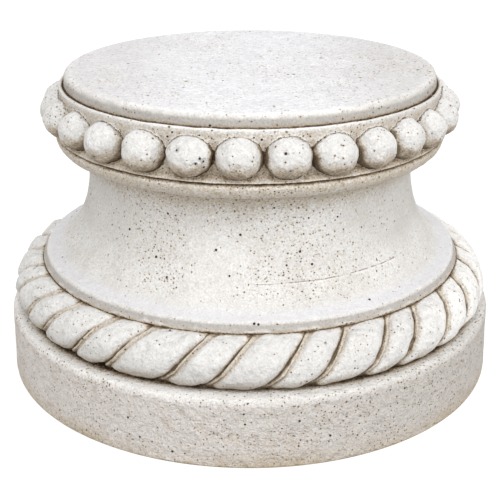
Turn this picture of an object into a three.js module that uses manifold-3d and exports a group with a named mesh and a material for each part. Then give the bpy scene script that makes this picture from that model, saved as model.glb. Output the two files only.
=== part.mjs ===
// Garden pedestal: a low round base of cast stone for an urn, a planter or a figure.
// It is one casting: a drum, a rope moulding, a flared scotia, a collar with a ring of beads and a top disc.
// Millimetres, +Z up. The origin is the middle of the underside, and -Y is the front.
import * as THREE from 'three';
import { mergeVertices } from 'three/addons/utils/BufferGeometryUtils.js';
import Module from 'manifold-3d';

// Driving dimensions of the turned outline, from the ground up. A radius is measured from the axis.
const drumRadius = 190;
const drumTopRadius = 188.6;
const drumHeight = 52;
const drumFootRound = 1.5;
const drumRimRound = 4;

const recessRadius = 156;
const recessTop = 85.6;

const flareRadius = 162.9;
const flareFoot = 87.3;
const flareRimRadius = 159.8;
const flareRim = 94.6;
const flareEdgeRound = 1.4;

const neckRadius = 123.9;
const neckHeight = 153.3;
const scotiaPower = 3;
const neckCoveRise = 19;
const neckCoveReach = 9;

const collarRadius = 147.2;
const collarOverhang = 11;
const collarFoot = 173.5;
const collarTop = 185.2;
const quirkDepth = 1.6;
const quirkHeight = 1.4;
const lipHeight = 1.6;

const beadBandRadius = 138.2;
const beadBandFoot = 191;
const beadBandTop = 212;
const ringRadius = 143;
const ringTop = 221.6;
const ringRound = 2.2;

const discFootRadius = 139;
const discRadius = 138.4;
const discFoot = 221.8;
const topHeight = 230.5;
const discEdgeRound = 4.2;

// Driving dimensions of the beads.
const beadCount = 28;
const firstBeadAngle = THREE.MathUtils.degToRad(-3.1);
const beadRingRadius = 141.4;
const beadHeight = 202.5;
const beadHalfWidth = 15.7;
const beadHalfDepth = 15.3;
const beadHalfHeight = 14.4;
const beadSides = 10;
const beadRings = 6;

// Driving dimensions of the rope. Its strands come in pairs, a wide one and a narrow one.
const ropeRadius = 163.8;
const ropeHeight = 65.6;
const ropeHalfWidth = 21.3;
const ropeRise = 21;
const ropeDrop = 15.5;
const strandPairs = 16;
const firstStrandAngle = THREE.MathUtils.degToRad(-29.65);
const wideShare = 0.556;
const grooveDepth = 4.6;
const pillowPower = 6;
const ropeBackRadius = 150;
const ropeBackSink = 2;

// The rope's section runs from under the drum's top, round the outside, to under the flare, in degrees.
// Each groove leans by so many degrees round the axis for each degree of that run.
const ropeFootAngle = -72;
const ropeHeadAngle = 112;
const ropeSteps = 7;
const ropeLean = 0.075;

const turnSegments = 48;
const stone = { color: 0xd9d4cb, roughness: 0.86, metalness: 0 };

const wasm = await Module();
wasm.setup();

function arc(centreX, centreY, radiusX, radiusY, fromDegrees, toDegrees, steps) {
  const points = [];
  for (let i = 0; i <= steps; i += 1) {
    const angle = THREE.MathUtils.degToRad(fromDegrees + ((toDegrees - fromDegrees) * i) / steps);
    points.push(new THREE.Vector2(centreX + radiusX * Math.cos(angle), centreY + radiusY * Math.sin(angle)));
  }
  return points;
}

// The scotia drops from the neck to the flare as a quarter of a superellipse, steep above and flat below.
function scotia(steps) {
  const points = [];
  for (let i = 1; i <= steps; i += 1) {
    const turn = (Math.PI / 2) * (i / steps);
    const inward = Math.sin(turn) ** (2 / scotiaPower);
    const upward = (1 - Math.cos(turn)) ** (2 / scotiaPower);
    const radius = flareRimRadius - flareEdgeRound + (neckRadius - flareRimRadius + flareEdgeRound) * inward;
    points.push(new THREE.Vector2(radius, flareRim + (neckHeight - flareRim) * upward));
  }
  return points;
}

function turnedOutline() {
  const rimRadius = drumTopRadius - drumRimRound;
  const quirkTop = collarTop + quirkHeight;
  return [
    new THREE.Vector2(0, 0),
    new THREE.Vector2(drumRadius - drumFootRound, 0),
    new THREE.Vector2(drumRadius, drumFootRound),
    ...arc(rimRadius, drumHeight - drumRimRound, drumRimRound, drumRimRound, 0, 90, 2),
    new THREE.Vector2(recessRadius, drumHeight),
    new THREE.Vector2(recessRadius, recessTop),
    new THREE.Vector2(flareRadius, flareFoot),
    new THREE.Vector2(flareRimRadius, flareRim - flareEdgeRound),
    new THREE.Vector2(flareRimRadius - flareEdgeRound, flareRim),
    ...scotia(6),
    ...arc(neckRadius + neckCoveReach, neckHeight, neckCoveReach, neckCoveRise, 145, 95, 1),
    ...arc(collarRadius - collarOverhang, collarTop, collarOverhang, collarTop - collarFoot, -75, 0, 2),
    new THREE.Vector2(collarRadius - quirkDepth, collarTop),
    new THREE.Vector2(collarRadius - quirkDepth, quirkTop),
    new THREE.Vector2(collarRadius, quirkTop),
    new THREE.Vector2(collarRadius, quirkTop + lipHeight),
    new THREE.Vector2(beadBandRadius, beadBandFoot),
    new THREE.Vector2(beadBandRadius, beadBandTop),
    new THREE.Vector2(ringRadius, ringTop - ringRound),
    new THREE.Vector2(ringRadius - ringRound, ringTop),
    new THREE.Vector2(discFootRadius, discFoot),
    ...arc(discRadius - discEdgeRound, topHeight - discEdgeRound, discEdgeRound, discEdgeRound, 0, 90, 2),
    new THREE.Vector2(0, topHeight),
  ];
}

// Strand relief across a pair: 0 on a crown and 1 in a groove, with the crown a round pillow.
// Columns stand closer at the grooves, so that each groove keeps a crisp bottom.
function strandColumns() {
  const columns = [];
  const spans = [
    { start: 0, width: wideShare, stops: [0, 0.12, 0.5, 0.88] },
    { start: wideShare, width: 1 - wideShare, stops: [0, 0.14, 0.5, 0.86] },
  ];
  for (let pair = 0; pair < strandPairs; pair += 1) {
    for (const { start, width, stops } of spans) {
      for (const stop of stops) {
        const across = 2 * stop - 1;
        const turn = ((pair + start + width * stop) / strandPairs) * Math.PI * 2;
        columns.push({ angle: firstStrandAngle + turn, relief: across ** pillowPower });
      }
    }
  }
  return columns;
}

// One section of the rope: the outer half follows the strand, and the back stands inside the casting.
function ropeSection({ angle, relief }) {
  const depth = grooveDepth * relief;
  const section = [];
  for (let i = 0; i <= ropeSteps; i += 1) {
    const along = ropeFootAngle + ((ropeHeadAngle - ropeFootAngle) * i) / ropeSteps;
    const turn = THREE.MathUtils.degToRad(along);
    const halfHeight = along < 0 ? ropeDrop : ropeRise;
    const radius = ropeRadius + (ropeHalfWidth - depth) * Math.cos(turn);
    const height = ropeHeight + (halfHeight - depth) * Math.sin(turn);
    const leaning = angle + THREE.MathUtils.degToRad(ropeLean * along);
    section.push({ point: new THREE.Vector2(radius, height), angle: leaning });
  }
  section.push({ point: new THREE.Vector2(ropeBackRadius, recessTop - ropeBackSink), angle });
  section.push({ point: new THREE.Vector2(ropeBackRadius, drumHeight - ropeBackSink), angle });
  return section;
}

function ropeGeometry() {
  const sections = strandColumns().map(ropeSection);
  const rows = sections[0].length;
  const positions = [];
  const indices = [];
  for (const section of sections) {
    for (const { point, angle } of section) {
      positions.push(point.x * Math.sin(angle), -point.x * Math.cos(angle), point.y);
    }
  }
  for (let i = 0; i < sections.length; i += 1) {
    const here = i * rows;
    const next = ((i + 1) % sections.length) * rows;
    for (let row = 0; row < rows; row += 1) {
      const above = (row + 1) % rows;
      indices.push(here + row, next + row, next + above);
      indices.push(here + row, next + above, here + above);
    }
  }
  const geometry = new THREE.BufferGeometry();
  geometry.setAttribute('position', new THREE.Float32BufferAttribute(positions, 3));
  geometry.setIndex(indices);
  return geometry;
}

function beadGeometry(index) {
  const angle = firstBeadAngle + (index / beadCount) * Math.PI * 2;
  const bead = new THREE.SphereGeometry(1, beadSides, beadRings);
  bead.scale(beadHalfWidth, beadHalfDepth, beadHalfHeight);
  bead.rotateZ(angle);
  bead.translate(beadRingRadius * Math.sin(angle), -beadRingRadius * Math.cos(angle), beadHeight);
  return bead;
}

// A closed solid from a geometry: shared corners become one, and slivers on the axis drop out.
function solidOf(geometry) {
  const bare = geometry.clone();
  bare.deleteAttribute('normal');
  bare.deleteAttribute('uv');
  const merged = mergeVertices(bare);
  const index = merged.getIndex().array;
  const corners = [];
  for (let i = 0; i < index.length; i += 3) {
    const [a, b, c] = [index[i], index[i + 1], index[i + 2]];
    if (a !== b && b !== c && c !== a) corners.push(a, b, c);
  }
  const mesh = new wasm.Mesh({
    numProp: 3,
    vertProperties: new Float32Array(merged.getAttribute('position').array),
    triVerts: new Uint32Array(corners),
  });
  return new wasm.Manifold(mesh);
}

function geometryOf(solid) {
  const mesh = solid.getMesh();
  const geometry = new THREE.BufferGeometry();
  geometry.setAttribute('position', new THREE.BufferAttribute(mesh.vertProperties, 3));
  geometry.setIndex(new THREE.BufferAttribute(mesh.triVerts, 1));
  geometry.computeVertexNormals();
  return geometry;
}

function pedestal() {
  const turned = new THREE.LatheGeometry(turnedOutline(), turnSegments);
  turned.rotateX(Math.PI / 2);
  let casting = solidOf(turned).add(solidOf(ropeGeometry()));
  for (let i = 0; i < beadCount; i += 1) {
    casting = casting.add(solidOf(beadGeometry(i)));
  }
  const mesh = new THREE.Mesh(geometryOf(casting), new THREE.MeshStandardMaterial(stone));
  mesh.name = 'pedestal';
  return mesh;
}

const group = new THREE.Group();
group.add(pedestal());

export default group;
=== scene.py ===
import math
import bmesh
import bpy
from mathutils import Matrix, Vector


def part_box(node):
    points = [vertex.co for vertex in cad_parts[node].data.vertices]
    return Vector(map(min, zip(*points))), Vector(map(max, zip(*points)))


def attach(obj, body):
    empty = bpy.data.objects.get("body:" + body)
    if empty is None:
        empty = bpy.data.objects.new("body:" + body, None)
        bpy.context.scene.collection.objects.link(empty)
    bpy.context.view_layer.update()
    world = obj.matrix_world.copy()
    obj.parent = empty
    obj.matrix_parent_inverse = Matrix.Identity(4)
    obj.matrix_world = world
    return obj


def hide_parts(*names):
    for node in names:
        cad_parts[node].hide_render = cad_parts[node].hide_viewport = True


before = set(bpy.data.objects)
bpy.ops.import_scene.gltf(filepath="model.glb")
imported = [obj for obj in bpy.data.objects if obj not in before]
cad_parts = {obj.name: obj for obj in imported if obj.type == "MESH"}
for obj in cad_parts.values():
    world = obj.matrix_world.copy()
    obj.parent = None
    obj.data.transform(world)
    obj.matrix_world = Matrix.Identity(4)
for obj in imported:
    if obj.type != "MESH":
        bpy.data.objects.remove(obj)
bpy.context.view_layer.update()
nodeLow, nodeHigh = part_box("pedestal")
print("frame loaded, pedestal", [round(h - l, 4) for l, h in zip(nodeLow, nodeHigh)])


def pickSocket(sockets, name):
    live = [s for s in sockets if s.enabled]
    if name is None:
        return live[0]
    if isinstance(name, int):
        return live[name]
    return next(s for s in live if name in (s.name, s.identifier))


# one socket of a node tree, so that sums and products of sockets read as maths
class Wire:
    def __init__(self, kit, socket):
        self.kit = kit
        self.socket = socket

    def also(self, output):  # another output of the same node
        return Wire(self.kit, pickSocket(self.socket.node.outputs, output))

    def __add__(self, other):
        return self.kit.maths("ADD", self, other)

    def __sub__(self, other):
        return self.kit.maths("SUBTRACT", self, other)

    def __rsub__(self, other):
        return self.kit.maths("SUBTRACT", other, self)

    def __mul__(self, other):
        return self.kit.maths("MULTIPLY", self, other)

    def __truediv__(self, other):
        return self.kit.maths("DIVIDE", self, other)

    def __rtruediv__(self, other):
        return self.kit.maths("DIVIDE", other, self)

    def __pow__(self, other):
        return self.kit.maths("POWER", self, other)

    def __neg__(self):
        return self.kit.maths("MULTIPLY", self, -1.0)

    def __abs__(self):
        return self.kit.maths("ABSOLUTE", self)

    __radd__ = __add__
    __rmul__ = __mul__

    def ease(self, start, end):  # 0 at start, 1 at end, eased between
        ranges = {"Value": self, "From Min": start, "From Max": end}
        return self.kit.node("ShaderNodeMapRange", {"interpolation_type": "SMOOTHSTEP"}, ranges)


class NodeKit:
    def __init__(self, tree):
        self.tree = tree
        self.values = {}
        self.entry = None

    # one node: its type, the settings that are set first, and what its sockets get
    def node(self, kind, settings=None, sockets=None, output=None):
        made = self.tree.nodes.new(kind)
        for name, value in (settings or {}).items():
            if name == "bend":
                self.bendCurve(made.mapping, value)
            else:
                setattr(made, name, value)
        for name, value in (sockets or {}).items():
            self.feed(pickSocket(made.inputs, name), value)
        return Wire(self, pickSocket(made.outputs, output)) if made.outputs else None

    def feed(self, socket, value):
        for item in value if isinstance(value, list) else [value]:
            if isinstance(item, Wire):
                self.tree.links.new(item.socket, socket)
            else:
                socket.default_value = item

    def bendCurve(self, mapping, places):
        curve = mapping.curves[0]
        while len(curve.points) < len(places):
            curve.points.new(0.5, 0.5)
        for point, place in zip(curve.points, places):
            point.location = place
        mapping.update()

    def maths(self, operation, *values):
        return self.node("ShaderNodeMath", {"operation": operation}, dict(enumerate(values)))

    def vectors(self, operation, *values, output=None):
        return self.node("ShaderNodeVectorMath", {"operation": operation}, dict(enumerate(values)), output)

    def vector(self, x, y, z):
        return self.node("ShaderNodeCombineXYZ", {}, {"X": x, "Y": y, "Z": z})

    def split(self, vector):
        x = self.node("ShaderNodeSeparateXYZ", {}, {"Vector": vector}, "X")
        return x, x.also("Y"), x.also("Z")

    def noise(self, place, scale, detail=2.0, roughness=0.5):
        sockets = {"Vector": place, "Scale": scale, "Detail": detail, "Roughness": roughness}
        return self.node("ShaderNodeTexNoise", {}, sockets, 0)

    def mixColour(self, factor, low, high, blend="MIX"):
        settings = {"data_type": "RGBA", "blend_type": blend}
        return self.node("ShaderNodeMix", settings, {"Factor": factor, "A": low, "B": high})

    # a named input of a geometry tree, and the value that the modifier sets on it
    def given(self, name, value):
        kinds = {int: "NodeSocketInt", float: "NodeSocketFloat"}
        kind = kinds.get(type(value), "NodeSocket" + type(value).__name__)
        socket = self.tree.interface.new_socket(name, in_out="INPUT", socket_type=kind)
        self.values[socket.identifier] = value
        self.entry = self.entry or self.tree.nodes.new("NodeGroupInput")
        return Wire(self, pickSocket(self.entry.outputs, socket.identifier))


# the photograph's camera, in metres and degrees
view = {
    "distance": 0.8057,
    "height": 0.4142,
    "tiltDown": 22.51,
    "focalPixels": 1085.4,
    "framePixels": 500,
    "sensor": 36.0,
    "clipStart": 0.01,
}


def placeCamera():
    data = bpy.data.cameras.new("photoView")
    data.sensor_width = view["sensor"]
    data.lens = view["focalPixels"] / view["framePixels"] * view["sensor"]
    data.clip_start = view["clipStart"]
    camera = bpy.data.objects.new("photoView", data)
    camera.location = (0, -view["distance"], view["height"])
    camera.rotation_euler = (math.radians(90 - view["tiltDown"]), 0, 0)
    bpy.context.scene.collection.objects.link(camera)
    bpy.context.scene.camera = camera


# the turned outline in metres, from the ground up; a radius runs from the axis, and the lip and the
# crease are lists of steps: metres out from their radius, and a share of their height or depth
turned = {
    "drumRadius": nodeHigh[0],
    "drumTopRadius": 0.1886,
    "drumHeight": 0.052,
    "footRound": 0.0018,
    "rimRound": 0.0045,
    "rimDrop": 0.001,
    "ledgeFall": 0.0006,
    "ledgeInside": 0.168,
    "recessRadius": 0.156,
    "recessTop": 0.0856,
    "flareRadius": 0.1629,
    "flareFoot": 0.0873,
    "flareInset": 0.0008,
    "flareDip": 0.0004,
    "flareRise": 0.0005,
    "flareRimRadius": 0.1598,
    "flareRim": 0.0946,
    "flareRound": 0.0020,
    "neckRadius": 0.1239,
    "neckHeight": 0.1533,
    "scotiaPower": 3.0,
    "coveReach": 0.009,
    "coveRise": 0.019,
    "collarRadius": 0.1472,
    "collarOverhang": 0.011,
    "collarFoot": 0.1735,
    "collarTop": 0.1852,
    "undercutReach": 0.0015,
    "undercutRise": 0.0003,
    "quirkDepth": 0.0026,
    "quirkHeight": 0.0013,
    "quirkShares": [0.35, 0.65],
    "lipHeight": 0.0016,
    "lip": [(-0.0003, 0.0), (0.0002, 0.3), (0.0, 0.75), (-0.0008, 1.0)],
    "bandRadius": 0.1408,
    "bandFoot": 0.1925,
    "bandTop": 0.2075,
    "ringFoot": 0.2155,
    "ringInset": 0.0004,
    "ringRadius": 0.143,
    "ringTop": 0.2216,
    "ringRound": 0.0014,
    "creaseDepth": 0.0013,
    "crease": [(0.0018, 0.0), (0.0008, 1.0), (-0.0006, 0.8)],
    "discFootRadius": 0.139,
    "discRadius": 0.1386,
    "discFoot": 0.2219,
    "discFootRise": 0.0004,
    "discRound": 0.0042,
    "topHeight": nodeHigh[2],
    "columns": 360,
}

# where dirt has settled and painted shade darkens the creases, the foot and the undersides of the turned
# members: radius, height, reach in metres, and strength
settledDirtAndShade = {
    "foot": (0.1895, 0.0, 0.003, 0.7),
    "ledge": (0.1732, 0.052, 0.0048, 1.0),
    "flareFoot": (0.1625, 0.0868, 0.0022, 1.2),
    "neckTop": (0.1290, 0.1680, 0.018, 0.2),
    "collar": (0.1470, 0.1818, 0.011, 0.42),
    "quirk": (0.1450, 0.1858, 0.0026, 1.5),
    "beadBed": (0.1430, 0.1905, 0.008, 0.5),
    "beadBand": (0.1408, 0.2030, 0.011, 0.35),
    "ringFace": (0.1428, 0.2165, 0.0055, 0.36),
    "crease": (0.1391, 0.2206, 0.0018, 1.35),
}


def lineTo(points, end, steps=1):
    start = points[-1]
    for i in range(1, steps + 1):
        points.append(tuple(a + (b - a) * i / steps for a, b in zip(start, end)))


def arcTo(points, centre, radii, fromAngle, toAngle, steps):
    for i in range(steps + 1):
        angle = math.radians(fromAngle + (toAngle - fromAngle) * i / steps)
        points.append((centre[0] + radii[0] * math.cos(angle), centre[1] + radii[1] * math.sin(angle)))


def scotiaTo(points, t, steps):
    rim = t["flareRimRadius"] - t["flareRound"]
    for i in range(1, steps + 1):
        turn = math.pi / 2 * i / steps
        inward = math.sin(turn) ** (2 / t["scotiaPower"])
        upward = (1 - math.cos(turn)) ** (2 / t["scotiaPower"])
        radius = rim + (t["neckRadius"] - rim) * inward
        points.append((radius, t["flareRim"] + (t["neckHeight"] - t["flareRim"]) * upward))


def turnedOutline(t):
    points = [(0.0, 0.0)]
    lineTo(points, (t["drumRadius"] - t["footRound"], 0.0), 4)
    foot = (t["drumRadius"] - t["footRound"], t["footRound"])
    arcTo(points, foot, (t["footRound"],) * 2, -70, 0, 2)
    rim = (t["drumTopRadius"] - t["rimRound"], t["drumHeight"] - t["ledgeFall"] - t["rimRound"])
    lineTo(points, (t["drumTopRadius"], rim[1] - t["rimDrop"]), 11)
    arcTo(points, rim, (t["rimRound"],) * 2, 0, 90, 5)
    lineTo(points, (t["ledgeInside"], t["drumHeight"]), 9)
    lineTo(points, (t["recessRadius"], t["drumHeight"]))
    lineTo(points, (t["recessRadius"], t["recessTop"]))
    lineTo(points, (t["flareRadius"] - t["flareInset"], t["flareFoot"] - t["flareDip"]), 2)
    lineTo(points, (t["flareRadius"], t["flareFoot"] + t["flareRise"]))
    lineTo(points, (t["flareRimRadius"], t["flareRim"] - t["flareRound"]), 3)
    flareEdge = (t["flareRimRadius"] - t["flareRound"], t["flareRim"] - t["flareRound"])
    arcTo(points, flareEdge, (t["flareRound"],) * 2, 22, 82, 4)
    scotiaTo(points, t, 24)
    neckCove = (t["neckRadius"] + t["coveReach"], t["neckHeight"])
    arcTo(points, neckCove, (t["coveReach"], t["coveRise"]), 165, 95, 6)
    collar = (t["collarRadius"] - t["collarOverhang"], t["collarTop"])
    lineTo(points, (collar[0] + t["undercutReach"], t["collarFoot"] + t["undercutRise"]), 2)
    arcTo(points, collar, (t["collarOverhang"], t["collarTop"] - t["collarFoot"]), -70, -4, 6)
    quirkTop = t["collarTop"] + t["quirkHeight"]
    for share in t["quirkShares"]:
        lineTo(points, (t["collarRadius"] - t["quirkDepth"], t["collarTop"] + t["quirkHeight"] * share))
    for out, share in t["lip"]:
        lineTo(points, (t["collarRadius"] + out, quirkTop + t["lipHeight"] * share))
    lineTo(points, (t["bandRadius"], t["bandFoot"]), 4)
    lineTo(points, (t["bandRadius"], t["bandTop"]), 4)
    reach = t["ringRadius"] - t["ringInset"] - t["bandRadius"]
    rise = t["ringFoot"] - t["bandTop"]
    for share in (0.15, 0.32, 0.5, 0.68, 0.85, 1.0):  # a soft slope out to the ring
        eased = share * share * (3 - 2 * share)
        points.append((t["bandRadius"] + reach * eased, t["bandTop"] + rise * share))
    ringEdge = (t["ringRadius"] - t["ringRound"], t["ringTop"] - t["ringRound"])
    lineTo(points, (t["ringRadius"], ringEdge[1]), 3)
    arcTo(points, ringEdge, (t["ringRound"],) * 2, 25, 90, 3)
    for out, share in t["crease"]:
        lineTo(points, (t["discFootRadius"] + out, t["ringTop"] - t["creaseDepth"] * share))
    lineTo(points, (t["discFootRadius"], t["discFoot"] + t["discFootRise"]))
    edge = (t["discRadius"] - t["discRound"], t["topHeight"] - t["discRound"])
    lineTo(points, (t["discRadius"], edge[1]), 3)
    arcTo(points, edge, (t["discRound"],) * 2, 10, 90, 5)
    for share in (0.97, 0.9, 0.79, 0.64, 0.46, 0.26, 0.1, 0.0):  # rings of the flat top
        lineTo(points, (edge[0] * share, t["topHeight"]))
    return points


def dirtAt(radius, height):
    total = 0.0
    for atRadius, atHeight, reach, strength in settledDirtAndShade.values():
        total += strength * max(0.0, 1 - math.hypot(radius - atRadius, height - atHeight) / reach)
    return min(total, 1.0)


# the outline as a line of points for the node tree; y holds the settled dirt and painted shade
def outlineGuide(points):
    mesh = bpy.data.meshes.new("outlineGuide")
    steps = [(i, i + 1) for i in range(len(points) - 1)]
    mesh.from_pydata([(r, dirtAt(r, z), z) for r, z in points], steps, [])
    guide = bpy.data.objects.new("outlineGuide", mesh)
    bpy.context.scene.collection.objects.link(guide)
    return guide


# a grid whose seam and poles are welded once its corners are placed
def weldedSheet(kit, across, along, place, grime):
    grid = kit.node("GeometryNodeMeshGrid", {}, {"Vertices X": across, "Vertices Y": along})
    stained = storeNumber(kit, grid, "grime", grime)
    placed = kit.node("GeometryNodeSetPosition", {}, {"Geometry": stained, "Position": place})
    return kit.node("GeometryNodeMergeByDistance", {}, {"Geometry": placed, "Distance": 1e-6})


def storeNumber(kit, geometry, name, value):
    sockets = {"Geometry": geometry, "Name": name, "Value": value}
    return kit.node("GeometryNodeStoreNamedAttribute", {"data_type": "FLOAT", "domain": "POINT"}, sockets)


def storedNumber(kit, name):
    return kit.node("GeometryNodeInputNamedAttribute", {"data_type": "FLOAT"}, {"Name": name}, "Attribute")


# which column and row of such a grid a corner is in
def gridPlace(kit, along):
    index = kit.node("GeometryNodeInputIndex")
    column = kit.maths("FLOOR", (index + 0.5) / along)
    return column, index - column * along


def roundAxis(kit, radius, angle, height):
    return kit.vector(radius * kit.maths("SINE", angle), -(radius * kit.maths("COSINE", angle)), height)


# how far the hand-set ornament strays from even steps, as an angle
def astray(kit, angle, places):
    widest = 5.0
    bend = [((a + 180) / 360, 0.5 + d / widest / 2) for a, d in places]
    share = kit.maths("WRAP", angle / math.tau + 0.5, 1.0, 0.0)
    curve = kit.node("ShaderNodeFloatCurve", {"bend": bend}, {"Value": share})
    return (curve - 0.5) * math.radians(widest * 2)


def turnedBody(kit, guide, rows):
    outline = kit.node("GeometryNodeObjectInfo", {}, {"Object": kit.given("Outline", guide)}, "Geometry")
    columns = kit.given("Turned columns", turned["columns"])
    column, row = gridPlace(kit, rows)
    sample = {"Geometry": outline, "Value": kit.node("GeometryNodeInputPosition"), "Index": row}
    spot = kit.node("GeometryNodeSampleIndex", {"data_type": "FLOAT_VECTOR", "domain": "POINT"}, sample)
    radius, grime, height = kit.split(spot)
    place = roundAxis(kit, radius, column / columns * math.tau, height)
    return weldedSheet(kit, columns + 1, rows, place, grime)


# the beads, in metres; the first one stands a little left of the front
beads = {
    "Bead count": 28,
    "Bead ring": 0.1414,
    "Bead height": 0.2025,
    "Bead half width": 0.0156,
    "Bead half depth": 0.0163,
    "Bead half height": 0.0142,
    "First bead": math.radians(-3.1),
    "Bead unevenness": 0.03,
    "Bead rise share": 0.06,
    "Bead width share": 0.6,
    "Bead fineness": 4,
    "Bead seed": 5,
}

# degrees from the front, and degrees that a bead there stands astray
beadsAstray = [
    (-180, 0.0), (-110, 0.0), (-67, -1.8), (-54, -1.6), (-29, -0.4), (-3, 0.25),
    (10, 0.35), (35, -0.3), (61, -1.9), (80, -1.4), (130, 0.0), (180, 0.0),
]


def beadRing(kit):
    b = {name: kit.given(name, value) for name, value in beads.items()}
    index = kit.node("GeometryNodeInputIndex")
    even = b["First bead"] + index / b["Bead count"] * math.tau
    angle = even + astray(kit, even, beadsAstray)

    def uneven(shift):
        spread = {"Min": -b["Bead unevenness"], "Max": b["Bead unevenness"], "Seed": b["Bead seed"] + shift}
        return kit.node("FunctionNodeRandomValue", {"data_type": "FLOAT"}, spread)

    height = b["Bead height"] * (1 + uneven(2) * b["Bead rise share"])
    spots = kit.node("GeometryNodePoints", {}, {
        "Count": b["Bead count"], "Position": roundAxis(kit, b["Bead ring"], angle, height),
    })
    ball = kit.node("GeometryNodeMeshIcoSphere", {}, {"Radius": 1.0, "Subdivisions": b["Bead fineness"]})
    size = kit.vector(
        b["Bead half width"] * (1 + uneven(3) * b["Bead width share"]),
        b["Bead half depth"] * (1 + uneven(4)),
        b["Bead half height"] * (1 + uneven(5)),
    )
    turn = kit.node("FunctionNodeEulerToRotation", {}, {"Euler": kit.vector(0.0, 0.0, angle)})
    placed = kit.node("GeometryNodeInstanceOnPoints", {}, {
        "Points": spots, "Instance": ball, "Rotation": turn, "Scale": size,
    })
    solid = kit.node("GeometryNodeRealizeInstances", {}, {"Geometry": placed})
    return storeNumber(kit, solid, "grime", 0.0)


# the rope, in metres and degrees; its strands come in pairs, a wide one and a narrow one, and their
# corners are rounded by more at the head
rope = {
    "Rope radius": 0.1638,
    "Rope height": 0.0656,
    "Rope half width": 0.0213,
    "Rope rise": 0.0215,
    "Rope drop": 0.0155,
    "Strand pairs": 16,
    "First strand": math.radians(-29.65),
    "Wide share": 0.556,
    "Groove depth": 0.0055,
    "Groove dark side": 0.0006,
    "Groove shelf": 0.0030,
    "Groove rib": 0.62,
    "Strand left edge": 0.0055,
    "Strand right edge": 0.0095,
    "Left corner": 0.007,
    "Left corner more": 0.0015,
    "Right corner": 0.002,
    "Right corner more": 0.001,
    "Narrow corner more": 0.004,
    "Strand length": 0.0575,
    "Strand foot": 0.08,
    "Strand head": 0.93,
    "Foot angle": -72.0,
    "Head angle": 112.0,
    "Rope lean": 0.075,
    "Strand columns": 22,
    "Strand rows": 27,
    "Column pinch": 0.7,
    "Back radius": 0.15,
    "Back sink": 0.002,
}

# the rise of a strand from its edge to its crown
strandArch = [(0.0, 0.0), (0.1, 0.3), (0.28, 0.6), (0.55, 0.86), (0.8, 0.97), (1.0, 1.0)]

# where along a strand its grooves and its dirt and painted shade fade, from 0 at the foot to 1 at the head,
# and how much; lines of dirt and painted shade are given by metres in from the strand's edge
strandFades = {
    "footRunOut": (0.16, 0.06, 0.65),
    "headRunOut": (0.78, 0.92, 0.97),
    "footDirtAndShade": (0.15, 0.07, 0.9),
    "headDirtAndShade": (0.86, 0.9, 0.6),
    "darkLine": (0.0014, -0.0003, 0.9),
    "shelfLine": (0.0008, 0.0001, 0.3),
    "bleed": (0.0045, 0.0, 1.0),
}

# degrees from the front, and degrees that a strand there stands astray
strandsAstray = [
    (-180, 0.0), (-120, 2.0), (-97, 3.0), (-78, 1.2), (-62, -1.3), (-40, -1.6), (-30, -1.1),
    (-17, 0.8), (5, 0.9), (28, -0.1), (50, -1.1), (65, 0.0), (120, 0.0), (180, 0.0),
]


def strandFade(number, name):
    start, end, strength = strandFades[name]
    return number.ease(start, end) * strength


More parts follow.
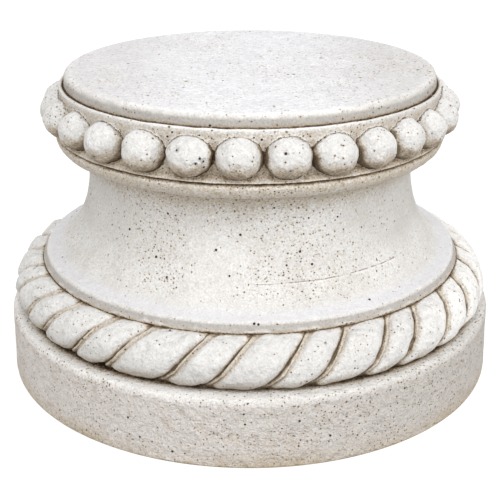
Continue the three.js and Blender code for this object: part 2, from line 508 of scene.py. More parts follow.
def ropeRing(kit):
    r = {name: kit.given(name, value) for name, value in rope.items()}
    rows = r["Strand rows"] + 4
    column, row = gridPlace(kit, rows)

    # where a column lies across its strand; columns crowd at the grooves
    strand = kit.maths("FLOOR", (column + 0.5) / r["Strand columns"])
    pair = kit.maths("FLOOR", (strand + 0.5) / 2)
    narrow = strand - pair * 2
    step = column / r["Strand columns"] - strand
    across = step - r["Column pinch"] * kit.maths("SINE", step * math.tau) / math.tau
    width = r["Wide share"] + narrow * (1 - 2 * r["Wide share"])
    turn = (pair + narrow * r["Wide share"] + across * width) / r["Strand pairs"]
    even = r["First strand"] + turn * math.tau
    upright = even + astray(kit, even, strandsAstray)

    # rows run round the outside of the section, then down its back, and end where they began
    backHigh = kit.maths("COMPARE", row, r["Strand rows"] + 1, 0.5)
    backLow = kit.maths("COMPARE", row, r["Strand rows"] + 2, 0.5)
    outside = kit.maths("LESS_THAN", row, r["Strand rows"] + 0.5)
    along = outside * row / r["Strand rows"] + backHigh
    angle = r["Foot angle"] + (r["Head angle"] - r["Foot angle"]) * along
    leaning = upright + kit.maths("RADIANS", r["Rope lean"] * angle)

    # each strand is a pillow with rounded corners; those on its left are rounder
    side = across * 2 - 1
    middle = (r["Strand foot"] + r["Strand head"]) / 2
    lift = along - middle
    girth = r["Rope radius"] + r["Rope half width"] * 0.8  # where the strands' widths are measured
    halfWidth = width * math.tau / r["Strand pairs"] * girth / 2
    upper = kit.maths("GREATER_THAN", lift, 0.0)
    leftCorner = r["Left corner"] + upper * r["Left corner more"]
    rightMore = r["Right corner more"] + narrow * r["Narrow corner more"]
    rightCorner = r["Right corner"] + upper * rightMore
    corner = rightCorner + kit.maths("LESS_THAN", side, 0.0) * (leftCorner - rightCorner)
    pastCorner = corner - (r["Strand head"] - middle - abs(lift)) * r["Strand length"]
    bite = kit.maths("MINIMUM", kit.maths("MAXIMUM", pastCorner / corner, 0.0), 1.0)
    cut = corner * (1 - kit.maths("SQRT", 1 - bite * bite))
    leftHand = side.ease(0.3, -0.3)
    groove = r["Groove dark side"] + (r["Groove shelf"] - r["Groove dark side"]) * leftHand
    inset = halfWidth - groove - cut - abs(side) * halfWidth
    edge = r["Strand right edge"] + (r["Strand left edge"] - r["Strand right edge"]) * leftHand
    archPlace = kit.maths("MINIMUM", kit.maths("MAXIMUM", inset / edge, 0.0), 1.0)
    arch = kit.node("ShaderNodeFloatCurve", {"bend": strandArch}, {"Value": archPlace})
    shelf = leftHand * inset.ease(0.0006, -0.0006)  # the raised half of a groove
    runOut = 1 - strandFade(along, "headRunOut") - strandFade(along, "footRunOut")
    crown = arch * (0.8 + 0.2 * (1 - side * side))
    sunk = r["Groove depth"] * runOut * (1 - crown - r["Groove rib"] * shelf)

    # dirt and painted shade: a dark line along the groove's low side, tan on its shelf, a little over the
    # strand's edges, and at its foot and head
    darkLine = (1 - leftHand) * strandFade(inset, "darkLine")
    shelfLine = leftHand * strandFade(abs(inset + 0.0002), "shelfLine")
    bleed = strandFade(inset, "bleed") * (0.35 + 0.1 * leftHand)
    ends = strandFade(along, "footDirtAndShade") + strandFade(along, "headDirtAndShade")
    grime = darkLine + shelfLine + bleed + ends

    turnedAngle = kit.maths("RADIANS", angle)
    below = kit.maths("LESS_THAN", angle, 0.0)
    halfHeight = r["Rope rise"] + below * (r["Rope drop"] - r["Rope rise"])
    outRadius = r["Rope radius"] + (r["Rope half width"] - sunk) * kit.maths("COSINE", turnedAngle)
    outHeight = r["Rope height"] + (halfHeight - sunk) * kit.maths("SINE", turnedAngle)
    back = backHigh + backLow
    highBack = backHigh * (turned["recessTop"] - r["Back sink"])
    lowBack = backLow * (turned["drumHeight"] - r["Back sink"])
    radius = outRadius * (1 - back) + r["Back radius"] * back
    height = outHeight * (1 - back) + highBack + lowBack
    columns = r["Strand pairs"] * 2 * r["Strand columns"]
    return weldedSheet(kit, columns + 1, rows, roundAxis(kit, radius, leaning, height), grime)


def blurPlace(kit, times):
    sockets = {"Value": kit.node("GeometryNodeInputPosition"), "Iterations": times}
    return kit.node("GeometryNodeBlurAttribute", {"data_type": "FLOAT_VECTOR"}, sockets)


def blurNumber(kit, number, times):
    sockets = {"Value": number, "Iterations": times}
    return kit.node("GeometryNodeBlurAttribute", {"data_type": "FLOAT"}, sockets)


# how far a point lies below its smoothed surroundings, in metres: a hollow is above 0, an edge below
def hollowness(kit, times):
    offset = kit.vectors("SUBTRACT", blurPlace(kit, times), kit.node("GeometryNodeInputPosition"))
    return kit.vectors("DOT_PRODUCT", offset, kit.node("GeometryNodeInputNormal"), output="Value")


# wear: how far the cast surface and its edges have moved from the true form, in metres, and the
# scales of its noises per metre
wear = {
    "Seam blur": 3,
    "Seam softness": 1.6,
    "Broad wave": 0.0007,
    "Broad scale": 22.0,
    "Carved lumps": 0.0036,
    "Turned lumps": 0.0012,
    "Lump scale": 95.0,
    "Edge wear": 0.9,
    "Edge scale": 140.0,
    "Foot clear": 0.004,
    "Top calm": 0.7,
    "Wear seed": 11.0,
}
topFade = (0.0012, 0.0004)  # metres below the top, over which the wear calms


def wornCasting(kit, casting, seams):
    w = {name: kit.given(name, value) for name, value in wear.items()}
    seamed = storeNumber(kit, casting, "seam", seams)
    spread = blurNumber(kit, storedNumber(kit, "seam"), 2)
    soften = kit.maths("MINIMUM", spread * w["Seam softness"], 1.0)
    place = kit.node("GeometryNodeInputPosition")
    blurred = kit.node("ShaderNodeMix", {"data_type": "VECTOR"}, {
        "Factor": soften, "A": place, "B": blurPlace(kit, w["Seam blur"]),
    })
    softened = kit.node("GeometryNodeSetPosition", {}, {"Geometry": seamed, "Position": blurred})

    z = kit.split(place)[2]
    moved = kit.vectors("ADD", place, kit.vector(w["Wear seed"], 0.0, 0.0))
    broad = (kit.noise(moved, w["Broad scale"], 1.0) - 0.5) * w["Broad wave"]
    carving = w["Turned lumps"] + storedNumber(kit, "carved") * (w["Carved lumps"] - w["Turned lumps"])
    lumps = (kit.noise(moved, w["Lump scale"], 2.0) - 0.5) * carving
    edge = kit.maths("MINIMUM", hollowness(kit, 3), 0.0) * w["Edge wear"]
    edge = edge * kit.noise(moved, w["Edge scale"], 2.0)
    grounded = z.ease(0.0, w["Foot clear"])
    flatTop = 1 - z.ease(*[turned["topHeight"] - below for below in topFade]) * w["Top calm"]
    shift = (broad + lumps) * grounded * flatTop + edge * grounded
    offset = kit.vectors("SCALE", kit.node("GeometryNodeInputNormal"), shift)
    return kit.node("GeometryNodeSetPosition", {}, {"Geometry": softened, "Offset": offset})


# how shut in each point is: the share of rays that meet stone close by, 0 in the open and 1 in a nook
shelter = {
    "Shelter reach": 0.013,
    "Shelter lift": 0.0004,
    "rays": 18,
    "spread": 0.95,
}


def shelteredCasting(kit, casting):
    rays = shelter["rays"]
    reach = kit.given("Shelter reach", shelter["Shelter reach"])
    lift = kit.given("Shelter lift", shelter["Shelter lift"])
    normal = kit.node("GeometryNodeInputNormal")
    lifted = kit.vectors("SCALE", normal, lift)
    eye = kit.vectors("ADD", kit.node("GeometryNodeInputPosition"), lifted)
    total = 0.0
    for i in range(rays):  # directions spread evenly over a ball, leaned along the normal
        height = 1 - 2 * (i + 0.5) / rays
        turn = i * math.pi * (3 - math.sqrt(5))
        ring = math.sqrt(1 - height * height)
        lean = (ring * math.cos(turn), ring * math.sin(turn), height)
        lean = tuple(part * shelter["spread"] for part in lean)
        towards = kit.vectors("NORMALIZE", kit.vectors("ADD", normal, lean))
        met = kit.node("GeometryNodeRaycast", {}, {
            "Target Geometry": casting, "Source Position": eye,
            "Ray Direction": towards, "Ray Length": reach,
        }, "Is Hit")
        near = 1 - met.also("Hit Distance") / reach
        total = met * near + total
    kept = storeNumber(kit, casting, "nookRaw", total / rays)
    return storeNumber(kit, kept, "nook", blurNumber(kit, storedNumber(kit, "nookRaw"), 2))


# open air holes of the casting, in metres and per square metre
airHoles = {
    "Holes per area": 1100.0,
    "Hole smallest": 0.0005,
    "Hole largest": 0.0012,
    "Hole rarity": 2.5,
    "Hole crowd scale": 26.0,
    "Fewer on carving": 0.6,
    "More on drum": 0.8,
    "Dark hole": 0.00105,
    "Pale hole": 0.00125,
    "Pale hole dark": 0.4,
    "Hole seed": 3,
}

# the holes that catch the eye: degrees from the front, height, radius, and how far out on a bead
markedHoles = [
    (-3, 0.143, 0.0010), (-10.5, 0.132, 0.0010), (33, 0.096, 0.0010), (-27, 0.153, 0.0009),
    (15.5, 0.130, 0.0010), (19, 0.121, 0.0010), (11, 0.122, 0.0008), (-30, 0.122, 0.0010),
    (-25, 0.111, 0.0009), (-6, 0.116, 0.0008), (29, 0.150, 0.0008), (7.5, 0.162, 0.0008),
    (1, 0.0935, 0.0010), (2, 0.0930, 0.0009), (10, 0.035, 0.0009), (-1, 0.034, 0.0008),
    (16.5, 0.021, 0.0009), (-16, 0.009, 0.0010), (-20.5, 0.2175, 0.0008), (-22, 0.2140, 0.0009),
    (-13, 0.2170, 0.0006), (1, 0.2165, 0.0007), (3, 0.2150, 0.0009),
    (-17.5, 0.2095, 0.0008, 0.013), (-11.5, 0.2055, 0.0008, 0.014), (-12.6, 0.2015, 0.0008, 0.015),
    (-10.5, 0.2020, 0.0008, 0.013), (-10.5, 0.1965, 0.0008, 0.013), (8.4, 0.2090, 0.0010, 0.013),
    (9.5, 0.1980, 0.0006, 0.013),
]


# the marked holes as points with their sizes for the node tree
def holeGuide(points):
    def radiusAt(height):
        for (r1, z1), (r2, z2) in zip(points, points[1:]):
            if z1 < height <= z2:
                return r1 + (r2 - r1) * (height - z1) / (z2 - z1)
        return points[-1][0]

    spots = []
    sizes = []
    for angle, height, size, *out in markedHoles:
        turn = math.radians(angle)
        reach = radiusAt(height) + sum(out)
        spots.append((reach * math.sin(turn), -reach * math.cos(turn), height))
        sizes.append(size)
    mesh = bpy.data.meshes.new("holeGuide")
    mesh.from_pydata(spots, [], [])
    mesh.attributes.new("holeSize", "FLOAT", "POINT").data.foreach_set("value", sizes)
    guide = bpy.data.objects.new("holeGuide", mesh)
    bpy.context.scene.collection.objects.link(guide)
    return guide


def airHoled(kit, casting, guide):
    a = {name: kit.given(name, value) for name, value in airHoles.items()}
    place = kit.node("GeometryNodeInputPosition")
    z = kit.split(place)[2]
    crowd = kit.noise(place, a["Hole crowd scale"], 2.0).ease(0.4, 0.66)
    clear = z.ease(0.002, 0.005)  # none at the very foot
    drum = z.ease(turned["drumHeight"], turned["drumHeight"] - 0.003)
    plain = 1 - storedNumber(kit, "carved") * a["Fewer on carving"] + drum * a["More on drum"]
    spots = kit.node("GeometryNodeDistributePointsOnFaces", {}, {
        "Mesh": casting, "Density": a["Holes per area"] * crowd * clear * plain, "Seed": a["Hole seed"],
    }, "Points")
    chance = kit.node("FunctionNodeRandomValue", {"data_type": "FLOAT"}, {"Seed": a["Hole seed"] + 1})
    spread = a["Hole smallest"] + (a["Hole largest"] - a["Hole smallest"]) * chance ** a["Hole rarity"]
    scattered = storeNumber(kit, spots, "holeSize", spread)
    marks = kit.node("GeometryNodeObjectInfo", {}, {"Object": kit.given("Marked holes", guide)}, "Geometry")
    touched = kit.node("GeometryNodeSampleNearestSurface", {"data_type": "FLOAT_VECTOR"}, {
        "Mesh": casting, "Value": kit.node("GeometryNodeInputPosition"),
    }, "Value")
    marked = kit.node("GeometryNodeMeshToPoints", {}, {"Mesh": marks, "Position": touched})
    both = kit.node("GeometryNodeJoinGeometry", {}, {"Geometry": [scattered, marked]})
    size = storedNumber(kit, "holeSize")
    dark = size.ease(a["Pale hole"], a["Dark hole"]) * (1 - a["Pale hole dark"]) + a["Pale hole dark"]
    darkened = storeNumber(kit, both, "airHole", dark)
    ball = kit.node("GeometryNodeMeshIcoSphere", {}, {"Radius": 1.0, "Subdivisions": 2})
    holes = kit.node("GeometryNodeInstanceOnPoints", {}, {
        "Points": darkened, "Instance": ball, "Scale": size,
    })
    cut = kit.node("GeometryNodeMeshBoolean", {"operation": "DIFFERENCE", "solver": "MANIFOLD"}, {
        "Mesh 1": casting, "Mesh 2": kit.node("GeometryNodeRealizeInstances", {}, {"Geometry": holes}),
    }, "Mesh")
    faces = {"Geometry": cut, "Shade Smooth": True}
    smooth = kit.node("GeometryNodeSetShadeSmooth", {"domain": "FACE"}, faces)
    rims = {"Geometry": smooth, "Selection": cut.also("Intersecting Edges"), "Shade Smooth": False}
    return kit.node("GeometryNodeSetShadeSmooth", {"domain": "EDGE"}, rims)


def castingTree(guide, rows, marks, finish):
    tree = bpy.data.node_groups.new("castPedestal", "GeometryNodeTree")
    tree.interface.new_socket("Geometry", in_out="OUTPUT", socket_type="NodeSocketGeometry")
    kit = NodeKit(tree)
    body = storeNumber(kit, turnedBody(kit, guide, rows), "carved", 0.0)
    strands = storeNumber(kit, ropeRing(kit), "carved", 1.0)
    balls = storeNumber(kit, beadRing(kit), "carved", 1.0)
    joined = kit.node("GeometryNodeMeshBoolean", {"operation": "UNION", "solver": "MANIFOLD"}, {
        "Mesh 2": [body, strands, balls],
    }, "Mesh")
    worn = wornCasting(kit, joined, joined.also("Intersecting Edges"))
    proud = hollowness(kit, 4) * -1000  # how far an edge stands out, in millimetres
    crested = storeNumber(kit, worn, "crest", kit.maths("MAXIMUM", proud, 0.0))
    holed = airHoled(kit, shelteredCasting(kit, crested), marks)
    realized = kit.node("GeometryNodeRealizeInstances", {}, {"Geometry": holed})
    coat = {"Geometry": realized, "Material": kit.given("Finish", finish)}
    coated = kit.node("GeometryNodeSetMaterial", {}, coat)
    kit.node("NodeGroupOutput", {}, {0: coated})
    return kit


# the stone's colours in linear light, and its surface; some are also laid on as painted light and painted
# shade
stone = {
    "drumGrey": (0.605, 0.563, 0.534, 1),
    "greyToneAndShade": (0.41, 0.39, 0.365, 1),
    "warmWhite": (0.590, 0.574, 0.552, 1),
    "paleWhite": (0.655, 0.647, 0.633, 1),
    "carvedWhite": (0.648, 0.640, 0.628, 1),
    "coolLitWhite": (0.655, 0.653, 0.682, 1),
    "paleWearAndHighlight": (0.77, 0.76, 0.745, 1),
    "tan": (0.43, 0.338, 0.218, 1),
    "brown": (0.165, 0.103, 0.048, 1),
    "deepBrown": (0.050, 0.028, 0.013, 1),
    "roughness": 0.88,
    "specular": 0.25,
    "bumpDepth": 0.001,
}

# heights in metres over which each zone of the stone fades in, and out again where it ends
zones = {
    "damp": [(0.017, 0.0)],
    "drum": [(0.0535, 0.0485)],
    "ledge": [(0.0485, 0.0505), (0.0545, 0.0530)],
    "strandLowShade": [(0.078, 0.058)],
    "rope": [(0.10, 0.09)],
    "flareBand": [(0.0862, 0.0875), (0.0935, 0.0915)],
    "flare": [(0.0880, 0.0900), (0.1060, 0.0960)],
    "scotia": [(0.0920, 0.1000), (0.1500, 0.1350)],
    "upperScotia": [(0.112, 0.130)],
    "neck": [(0.125, 0.165), (0.182, 0.174)],
    "ovolo": [(0.1735, 0.1760), (0.1870, 0.1850)],
    "collarUp": [(0.176, 0.182)],
    "crease": [(0.2198, 0.2204), (0.2224, 0.2218)],
    "ringEdge": [(0.2202, 0.2211), (0.2222, 0.2218)],
    "disc": [(0.2215, 0.2225), (0.2296, 0.2255)],
    "top": [(0.2225, 0.2290)],
}

# the noises of the stone: scale per metre, detail and roughness
grains = {
    "sand": (740.0, 1.0, 0.6),
    "streak": (380.0, 3.0, 0.6),
    "lumps": (230.0, 3.0, 0.6),
    "sponge": (120.0, 4.0, 0.65),
    "waves": (100.0, 2.0, 0.5),
    "patch": (75.0, 2.0, 0.5),
    "mottle": (38.0, 6.0, 0.65),
    "cloud": (11.0, 3.0, 0.55),
}

# shares of colour on the clean stone, and how much its tone varies
cleanShares = {
    "coolLightUp": 0.8,
    "carved": 0.8,
    "strandLowShade": 0.45,
    "drum": 0.6,
    "drumMottle": 0.4,
    "drumTan": 0.28,
    "band": 0.8,
    "bandMottle": 0.7,
    "crest": 0.5,
    "ringEdge": 0.8,
    "paleScotia": 0.28,
    "tanSand": 0.2,
    "tanCrowd": 0.6,
    "tanNeck": 0.35,
    "brownSand": 0.5,
    "sandTone": 0.6,
    "sandCalm": 0.15,
    "lumpTone": 0.2,
    "streakTone": 0.6,
    "mottleTone": 0.25,
    "sideShade": 0.28,
    "rightShade": 0.08,
    "drumRightShade": 0.48,
}

# strengths of the brown wash and its painted shade, and radii in metres where it lies on flat members
washAndShadeStrengths = {
    "openNook": 0.12,
    "openBeads": 0.09,
    "nook": 0.7,
    "nookCollar": 0.4,
    "nookBeads": 0.9,
    "beadPatch": 3.5,
    "contact": 1.4,
    "contactCollar": 1.1,
    "under": 0.45,
    "underOvolo": 0.25,
    "underBeads": 0.9,
    "underRope": 0.5,
    "crease": 0.35,
    "creaseRadii": (0.1408, 0.1399),
    "spill": 0.1,
    "spillSides": 0.7,
    "spillRadii": (0.1845, 0.1755),
}

# pits: how many to a metre, and the radius of the widest in metres
pitKinds = {
    "fine": (450.0, 0.00057),
    "small": (190.0, 0.00085),
    "coarse": (130.0, 0.0015),
}

# where pits crowd or keep away: degrees from the front, height, reach in metres, and strength
pitPatches = [
    (20, 0.118, 0.045, 0.45), (45, 0.135, 0.035, 0.3), (-29, 0.128, 0.035, 0.35),
    (-45, 0.120, 0.035, 0.3), (-7, 0.158, 0.012, 0.4), (-10, 0.122, 0.028, -0.5),
    (5, 0.098, 0.02, -0.3),
]
pitPatchRadius = 0.128

# the line scored round the scotia, in metres and radians
scoredLine = {
    "height": 0.1112,
    "sway": 0.0012,
    "from": math.radians(-2),
    "fadeIn": 0.15,
    "to": math.radians(62),
    "fadeOut": 0.3,
    "halfWidth": 0.0005,
    "lipBelow": 0.0009,
    "dirt": 0.8,
    "lip": 0.35,
}


# the stone as layers of colour, from the clean casting to its dirt and pits
class StoneLayers:
    def __init__(self, kit):
        self.kit = kit
        self.place = kit.node("ShaderNodeTexCoord", {}, {}, "Object")
        self.x, self.y, self.z = kit.split(self.place)
        self.aside = abs(self.x)
        facing = kit.split(self.place.also("Normal"))[2]
        self.up = facing.ease(0.75, 0.97)
        self.under = facing.ease(0.35, -0.9)
        self.carved = self.stored("carved")
        self.drum = self.zone("drum")
        self.ledge = self.zone("ledge") * facing.ease(0.3, 0.8)
        self.flare = self.zone("flare") * facing.ease(0.2, 0.8)
        self.collared = self.zone("collarUp")
        self.topFace = self.up * self.zone("top")

        sand = kit.noise(self.place, *grains["sand"]).also("Color")
        self.lightSand = kit.node("ShaderNodeSeparateColor", {}, {"Color": sand}, 0)
        self.tanSand = self.lightSand.also(1)
        uneven = kit.vectors("SCALE", kit.vectors("SUBTRACT", sand, (0.5, 0.5, 0.5)), 0.0008)
        self.shaken = kit.vectors("ADD", self.place, uneven)
        self.mottle = self.grain("mottle")
        self.lumps = self.grain("lumps")
        self.cloud = self.grain("cloud")
        self.sponge = self.grain("sponge")
        self.crowd = self.crowding()

    def stored(self, name):  # a number that the casting's mesh carries
        return self.kit.node("ShaderNodeAttribute", {"attribute_name": name}, {}, "Fac")

    def grain(self, name):
        return self.kit.noise(self.place, *grains[name])

    def zone(self, name):
        mask = 1.0
        for start, end in zones[name]:
            mask = self.z.ease(start, end) * mask
        return mask

    def larger(self, first, second):
        return self.kit.maths("MAXIMUM", first, second)

    def tint(self, share, colour):
        self.base = self.kit.mixColour(share, self.base, stone[colour])

    # 1 where pits are thick, 0 where they are few
    def crowding(self):
        crowd = self.cloud * 0.65 + self.mottle * 0.35
        for angle, height, reach, strength in pitPatches:
            turn = math.radians(angle)
            spot = (pitPatchRadius * math.sin(turn), -pitPatchRadius * math.cos(turn), height)
            away = self.kit.vectors("DISTANCE", self.place, spot, output="Value")
            crowd = crowd + away.ease(reach, reach * 0.3) * strength * 0.2
        return crowd.ease(0.42, 0.62)

    # clean stone: warm on its sides, cooler and paler where it faces up as painted light from above, greyer
    # on the upright bands
    def layClean(self):
        c = cleanShares
        upright = 1 - self.up
        mottled = self.mottle.ease(0.33, 0.66)
        self.base = self.kit.mixColour(mottled, stone["warmWhite"], stone["paleWhite"])
        # painted light: faces that look up are tinted cooler and paler, standing for the light from above
        self.tint(self.up * c["coolLightUp"], "coolLitWhite")
        self.tint(self.carved * c["carved"], "carvedWhite")
        # painted light: the rope's strands on the far right are paler, where the light from the right falls
        self.tint(self.carved * self.zone("rope") * self.x.ease(0.10, 0.16), "paleWearAndHighlight")
        # painted shade: the lower part of the strands on the left is darker grey
        shadedLowLeft = self.zone("strandLowShade") * self.x.ease(0.06, -0.02)
        self.tint(self.carved * shadedLowLeft * c["strandLowShade"], "greyToneAndShade")
        drumSide = self.drum * upright
        self.tint(drumSide * (c["drum"] + c["drumMottle"] * self.mottle), "drumGrey")
        self.tint(drumSide * self.sponge.ease(0.52, 0.68) * c["drumTan"], "tan")
        disc = self.zone("disc")
        band = self.larger(self.zone("flareBand"), disc) * upright
        self.tint(band * (c["band"] + c["bandMottle"] * self.mottle), "greyToneAndShade")

        # edges rubbed pale and also painted highlight, less where they face down; the ledge paler with
        # painted light and some wear; a painted highlight along the ring's top edge; the scotia pale where
        # it has few pits and paler towards its front, a painted highlight
        crest = self.stored("crest").ease(0.12, 0.35) * (1 - self.carved)
        crest = crest * (1 - disc) * (1 - self.under * 0.8)
        ringEdge = self.zone("ringEdge") * c["ringEdge"]
        self.tint(self.larger(crest * c["crest"], self.larger(self.ledge, ringEdge)), "paleWearAndHighlight")
        pale = (1 - self.crowd) * self.zone("scotia") * self.aside.ease(0.11, 0.03)
        self.tint(pale * c["paleScotia"], "paleWearAndHighlight")

    # sand in the stone, and painted shade that darkens the upper scotia towards its sides and its right,
    # and the drum towards its right
    def laySand(self):
        c = cleanShares
        tan = c["tanSand"] + c["tanCrowd"] * self.crowd + c["tanNeck"] * self.zone("neck")
        tan = tan * (1 - self.up * 0.5) * (1 - self.carved * 0.7) * (1 - self.flare * 0.8)
        self.tint(self.tanSand.ease(0.58, 0.75) * tan, "tan")
        brown = self.crowd * (1 - self.carved) * (1 - self.up) * c["brownSand"]
        self.tint(self.tanSand.ease(0.66, 0.78) * brown, "brown")

        lengthways = self.kit.vectors("MULTIPLY", self.place, (0.7, 1.0, 1.0))
        streak = self.kit.noise(lengthways, *grains["streak"])
        calm = (self.up + self.carved + self.flare) * c["sandCalm"]
        sandy = (self.lightSand - 0.5) * (c["sandTone"] - calm)
        lumpy = (self.lumps - 0.5) * (1 + self.carved) * c["lumpTone"]
        brushed = (streak - 0.5) * c["streakTone"] + (self.mottle - 0.5) * c["mottleTone"]
        self.base = self.kit.vectors("SCALE", self.base, 1 + sandy + lumpy + brushed * self.topFace)

        sides = self.aside.ease(0.04, 0.11) * c["sideShade"] + self.x.ease(0.03, 0.11) * c["rightShade"]
        drumRight = self.x.ease(-0.08, 0.17) * self.drum * c["drumRightShade"]
        paintedSideShade = sides * self.zone("upperScotia") + drumRight
        # painted shade on the sides of the scotia and the right of the drum
        self.tint(paintedSideShade * (1 - self.carved), "greyToneAndShade")

    # brown wash in the hollows and on what faces down, broken up by the grain: partly dirt, partly painted
    # shade in the nooks, seams, creases and on the undersides
    def layWash(self):
        w = washAndShadeStrengths
        beaded = self.carved * self.collared
        roped = self.carved * self.zone("rope")
        openNook = w["openNook"] + (w["openBeads"] - w["openNook"]) * self.collared
        shut = self.larger(self.stored("nook") - openNook, 0.0) * (1 - self.ledge * 0.85)
        patch = self.grain("patch").ease(0.47, 0.6)  # brown on some flanks of the beads
        nook = w["nook"] + w["nookCollar"] * self.collared
        nook = nook + (w["nookBeads"] + w["beadPatch"] * patch) * beaded
        seam = self.stored("seam").ease(0.3 + self.collared * 0.35, 1.0)
        contact = seam * (w["contact"] + (w["contactCollar"] - w["contact"]) * self.collared)
        under = w["under"] + (w["underOvolo"] - w["under"]) * self.zone("ovolo")
        under = under + (w["underBeads"] - w["under"]) * self.carved
        under = under + (w["underRope"] - w["underBeads"]) * roped
        fromAxis = self.kit.vectors("LENGTH", self.kit.vector(self.x, self.y, 0.0), output="Value")
        crease = self.zone("crease") * fromAxis.ease(*w["creaseRadii"]) * w["crease"]
        spill = w["spill"] + w["spillSides"] * self.aside.ease(0.02, 0.13)
        spill = spill * self.ledge * fromAxis.ease(*w["spillRadii"])
        # dirt and painted shade together: darker in nooks, along seams and creases, and where the stone
        # faces down
        self.wash = shut * (nook + shut) + self.stored("grime") + contact
        self.wash = self.wash + under * self.under + crease + spill

        rough = self.wash * (0.4 + 1.2 * self.lumps)
        rough = rough + (0.5 - self.lightSand) * 0.8 * self.wash.ease(0.03, 0.25)
        self.tint(rough.ease(0.08, 0.7) * 0.68, "tan")
        self.tint(rough.ease(0.55, 1.0) * (0.8 - self.carved * 0.15), "brown")
        self.tint(rough.ease(0.9, 1.4) * (0.9 - self.carved * 0.4), "deepBrown")

    # uneven balls of air in the stone, cut by its surface; 0 at the middle of one, 1 at its rim
    def pits(self, kind, share):
        kit = self.kit
        perMetre, radius = pitKinds[kind]
        cell = kit.node("ShaderNodeTexVoronoi", {}, {"Vector": self.shaken, "Scale": perMetre}, "Distance")
        chance = kit.node("ShaderNodeSeparateColor", {}, {"Color": cell.also("Color")}, 0)
        size = radius * perMetre * (0.45 + 0.55 * kit.maths("FRACT", chance * 7.0))
        return cell / size + 9 * kit.maths("GREATER_THAN", chance, share)

    # pits, thick in some places and few in others, each with a tan stain round it
    def layPits(self):
        bare = (1 - self.carved * (0.4 - self.collared * 0.3)) * (1 - self.flare * 0.7)
        dirty = self.wash.ease(0.1, 0.6) * (1 - self.drum)
        many = (self.crowd + self.drum * 0.3) * bare + dirty * 0.5
        collarSide = self.collared * (1 - self.up)
        fine = self.pits("fine", (0.11 + 0.8 * many) * bare)
        small = self.pits("small", (0.04 + 0.22 * many + 0.32 * collarSide) * bare)
        coarse = self.pits("coarse", (0.06 + 0.3 * self.crowd) * self.topFace)
        closest = self.kit.maths("MINIMUM", self.kit.maths("MINIMUM", fine, small), coarse)
        self.holes = self.larger(closest.ease(1.05, 0.6), self.stored("airHole"))
        self.tint(closest.ease(2.2, 1.0) * 0.5, "tan")
        self.tint(self.holes * 0.95, "deepBrown")

    # the scored line, dotted with dirt, and its lit lower lip
    def layLine(self):
        line = scoredLine
        angle = self.kit.maths("ARCTAN2", self.x, -self.y)
        reach = angle.ease(line["from"], line["from"] + line["fadeIn"])
        reach = reach * angle.ease(line["to"], line["to"] - line["fadeOut"])
        off = self.z - line["height"] + (self.mottle - 0.5) * line["sway"]
        self.scored = abs(off).ease(line["halfWidth"], 0.0001) * reach
        self.tint(self.scored * self.lumps.ease(0.42, 0.62) * line["dirt"], "brown")
        # painted highlight along the line's lower lip
        lip = abs(off + line["lipBelow"]).ease(0.0006, 0.0002)
        self.tint(lip * reach * line["lip"], "paleWearAndHighlight")

    # stains of the ground along the drum's foot
    def layDamp(self):
        blotch = (self.cloud * 0.8 + self.lumps * 0.5).ease(0.42, 0.78)
        self.tint(self.zone("damp") * blotch * 0.7, "tan")

    # the height of the fine relief, in parts of the bump's depth
    def relief(self):
        grain = (self.lumps * 1.2 + self.lightSand * 0.4) * (0.8 + self.drum * 1.1 + self.carved * 0.4)
        waves = self.grain("waves") * (1.0 + self.drum * 1.5 + self.carved * 2.5)
        hollows = self.sponge.ease(0.5, 0.7) * self.drum * 0.5
        return grain + waves - hollows - self.holes * 0.9 - self.scored * 0.15


def castStone():
    finish = bpy.data.materials.new("castStone")
    finish.use_nodes = True
    finish.node_tree.nodes.clear()
    kit = NodeKit(finish.node_tree)
    layers = StoneLayers(kit)
    layers.layClean()
    layers.laySand()
    layers.layWash()
    layers.layPits()
    layers.layLine()
    layers.layDamp()
    bump = kit.node("ShaderNodeBump", {}, {
        "Strength": 1.0, "Distance": stone["bumpDepth"], "Height": layers.relief(),
    })
    surface = kit.node("ShaderNodeBsdfPrincipled", {}, {
        "Base Color": layers.base, "Roughness": stone["roughness"], "Normal": bump,
        "Specular IOR Level": stone["specular"],
    })
    kit.node("ShaderNodeOutputMaterial", {}, {"Surface": surface})
    return finish


def makePedestal(finish):
    points = turnedOutline(turned)
    guide = outlineGuide(points)
    marks = holeGuide(points)
    kit = castingTree(guide, len(points), marks, finish)
    piece = bpy.data.objects.new("pedestalStone", bpy.data.meshes.new("pedestalStone"))
    bpy.context.scene.collection.objects.link(piece)
    caster = piece.modifiers.new("castPedestal", "NODES")
    caster.node_group = kit.tree
    for identifier, value in kit.values.items():
        caster[identifier] = value
    depsgraph = bpy.context.evaluated_depsgraph_get()
    mesh = bpy.data.meshes.new_from_object(piece.evaluated_get(depsgraph), depsgraph=depsgraph)
    piece.modifiers.remove(caster)
    piece.data = mesh
    bpy.data.objects.remove(guide)
    bpy.data.objects.remove(marks)
    triangles = sum(len(p.vertices) - 2 for p in mesh.polygons)
    print("pedestal cast,", len(points), "rows,", triangles, "triangles")
    return piece


def checkClosed(piece):
    shape = bmesh.new()
    shape.from_mesh(piece.data)
    openEdges = sum(not e.is_manifold for e in shape.edges)
    print("open edges", openEdges, "volume in litres", round(shape.calc_volume(signed=True) * 1000, 3))
    shape.free()


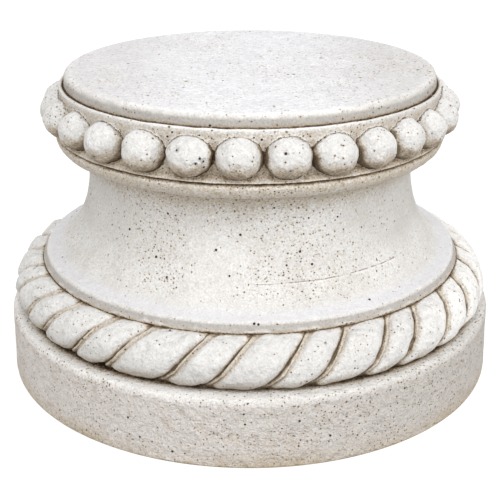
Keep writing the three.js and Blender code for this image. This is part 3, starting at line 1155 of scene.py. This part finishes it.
# the plain pale stage and its soft lights; powers in watts, places in metres
stage = {
    "floorHalf": 6.0,
    "floorColour": (0.12, 0.12, 0.12, 1),
    "floorRoughness": 0.9,
    "floorGlow": 0.93,
    "skyColour": (1.0, 0.99, 0.975, 1),
    "skyStrength": 0.69,
    "softboxes": [
        ("frontSoftbox", (0.0, -1.2, 1.5), 1.0, 9.2),
        ("lowSoftbox", (0.0, -1.5, 0.85), 1.0, 2.8),
        ("leftSoftbox", (-1.3, -1.0, 1.1), 1.0, 7.6),
        ("rightSoftbox", (1.3, -1.0, 1.1), 1.0, 14.0),
        ("backSoftbox", (0.0, 1.3, 1.5), 1.0, 9.6),
    ],
    "aim": (0.0, 0.0, 0.12),
}


def setStage():
    half = stage["floorHalf"]
    mesh = bpy.data.meshes.new("paleFloor")
    corners = [(-half, -half, 0), (half, -half, 0), (half, half, 0), (-half, half, 0)]
    mesh.from_pydata(corners, [], [(0, 1, 2, 3)])
    floor = bpy.data.objects.new("paleFloor", mesh)
    bpy.context.scene.collection.objects.link(floor)
    paint = bpy.data.materials.new("paleFloor")
    paint.use_nodes = True
    paint.node_tree.nodes.clear()
    kit = NodeKit(paint.node_tree)
    surface = kit.node("ShaderNodeBsdfPrincipled", {}, {
        "Base Color": stage["floorColour"], "Roughness": stage["floorRoughness"],
        "Emission Color": (1, 1, 1, 1), "Emission Strength": stage["floorGlow"],
    })
    kit.node("ShaderNodeOutputMaterial", {}, {"Surface": surface})
    mesh.materials.append(paint)
    floor.visible_diffuse = False  # the glow keeps the floor white and doesn't light the stone from below

    sky = bpy.data.worlds.new("paleSky")
    sky.use_nodes = True
    sky.node_tree.nodes.clear()
    kit = NodeKit(sky.node_tree)
    light = {"Color": stage["skyColour"], "Strength": stage["skyStrength"]}
    glow = kit.node("ShaderNodeBackground", {}, light)
    kit.node("ShaderNodeOutputWorld", {}, {"Surface": glow})
    bpy.context.scene.world = sky
    bpy.context.scene.view_settings.view_transform = "Standard"

    for name, spot, side, power in stage["softboxes"]:
        data = bpy.data.lights.new(name, "AREA")
        data.size = side
        data.energy = power
        lamp = bpy.data.objects.new(name, data)
        lamp.location = spot
        lamp.rotation_euler = (Vector(stage["aim"]) - Vector(spot)).to_track_quat("-Z", "Y").to_euler()
        bpy.context.scene.collection.objects.link(lamp)


placeCamera()
setStage()
print("camera and stage set")
pedestal = makePedestal(castStone())
checkClosed(pedestal)

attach(pedestal, "root")
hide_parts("pedestal")
